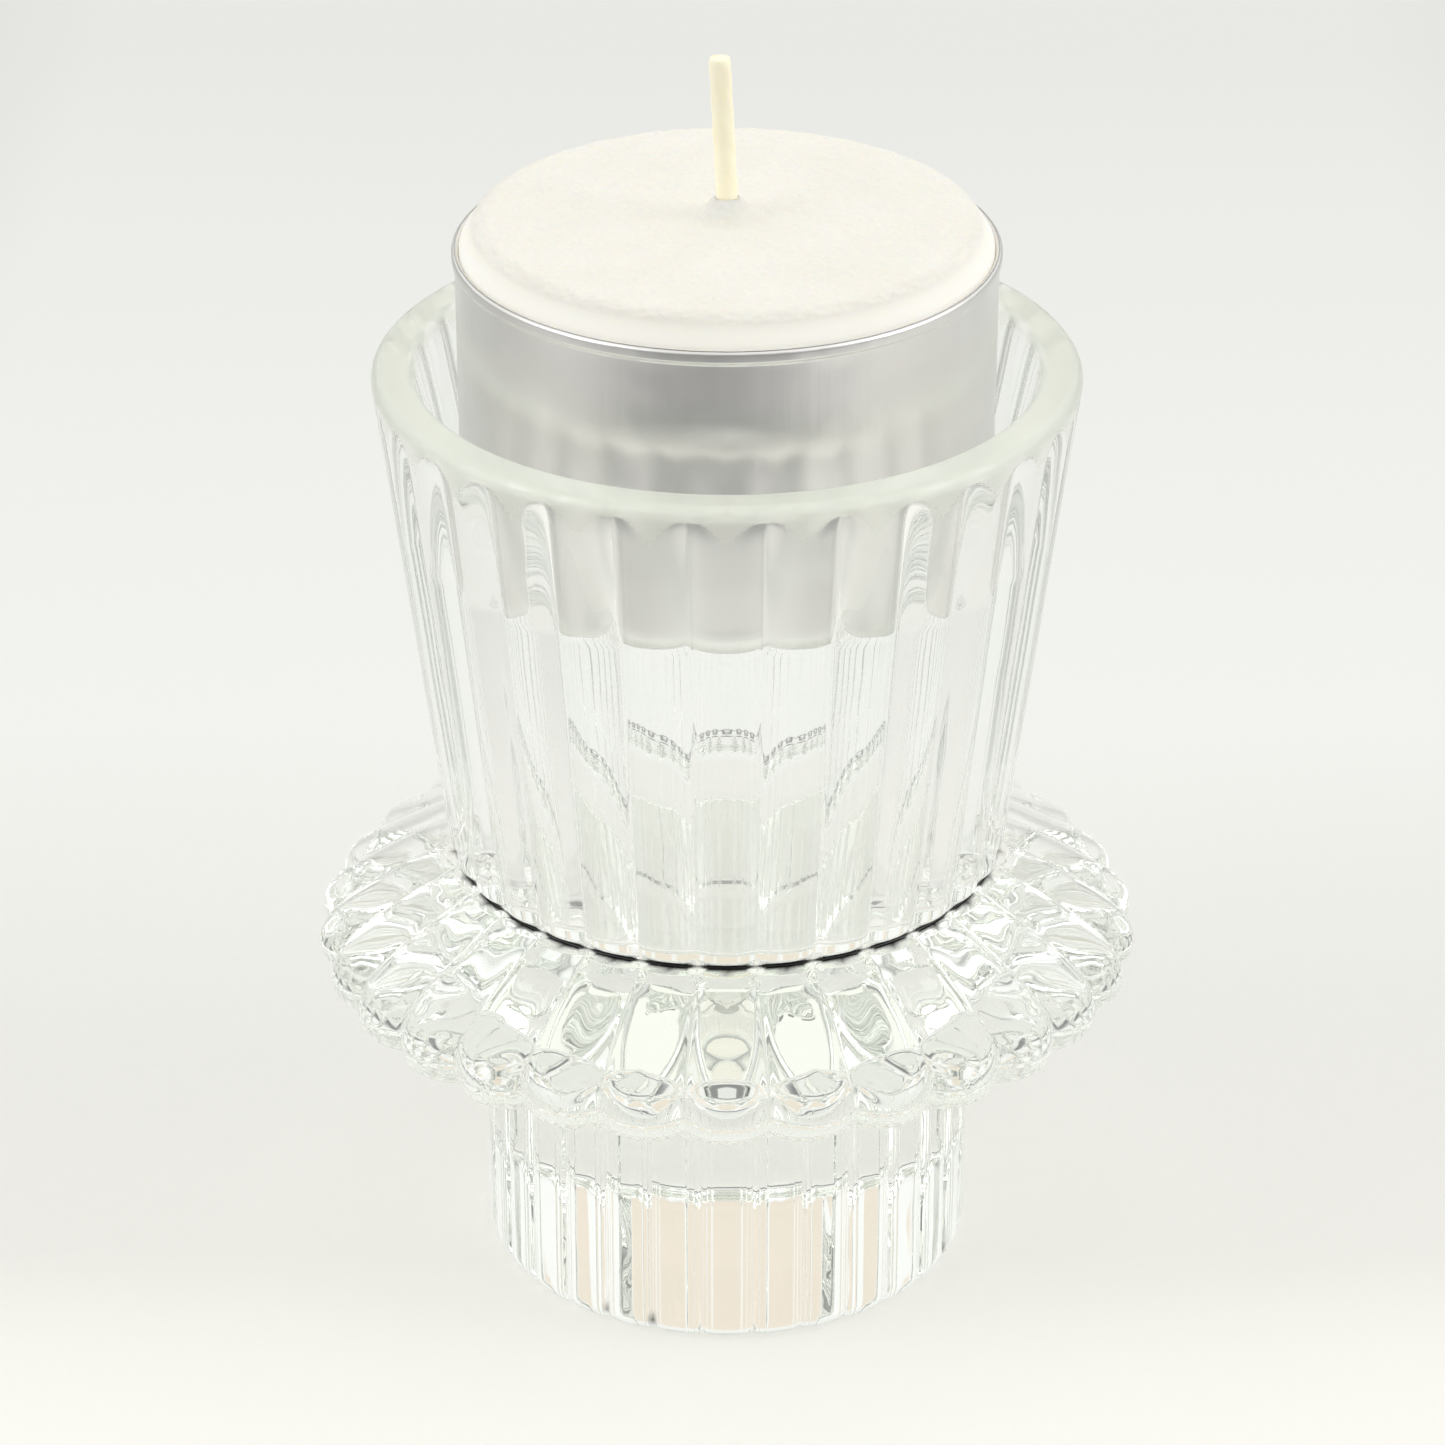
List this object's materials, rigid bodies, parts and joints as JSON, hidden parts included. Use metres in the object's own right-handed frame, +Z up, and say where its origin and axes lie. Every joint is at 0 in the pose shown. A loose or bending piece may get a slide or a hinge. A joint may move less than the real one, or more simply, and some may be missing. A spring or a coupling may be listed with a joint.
{
  "type": "tealight holder",
  "caption": "Ribbed pressed-glass candle holder with a scalloped collar and a tapered cup that holds a tealight in its aluminium can.",
  "frame": {"origin": "centre of the foot's flat underside", "axes": "+Z up through the wick; the ribs repeat around Z, with a rib crest facing -Y"},
  "size_m": [0.0596, 0.0598, 0.0926],
  "materials": {
    "clear_glass": "clear pressed glass, slightly green",
    "can_aluminium": "satin, thin drawn sheet",
    "wax": "pressed granular paraffin wax, matt",
    "wick_cotton": "waxed cotton braid",
    "sustainer_tin": "tinned sheet"
  },
  "bodies": {
    "holder": {"glass_holder": "clear_glass"},
    "tealight_cup": {"tealight_can": "can_aluminium"},
    "candle": {"wax_body": "wax", "wick": "wick_cotton", "wick_sustainer": "sustainer_tin"}
  },
  "joints": [
    {"name": "tealight_lift", "type": "slide", "parent": "holder", "child": "tealight_cup", "axis": [0, 0, 1], "range_m": [0, 0.03]},
    {"name": "candle_lift", "type": "slide", "parent": "tealight_cup", "child": "candle", "axis": [0, 0, 1], "range_m": [0, 0.025]}
  ]
}
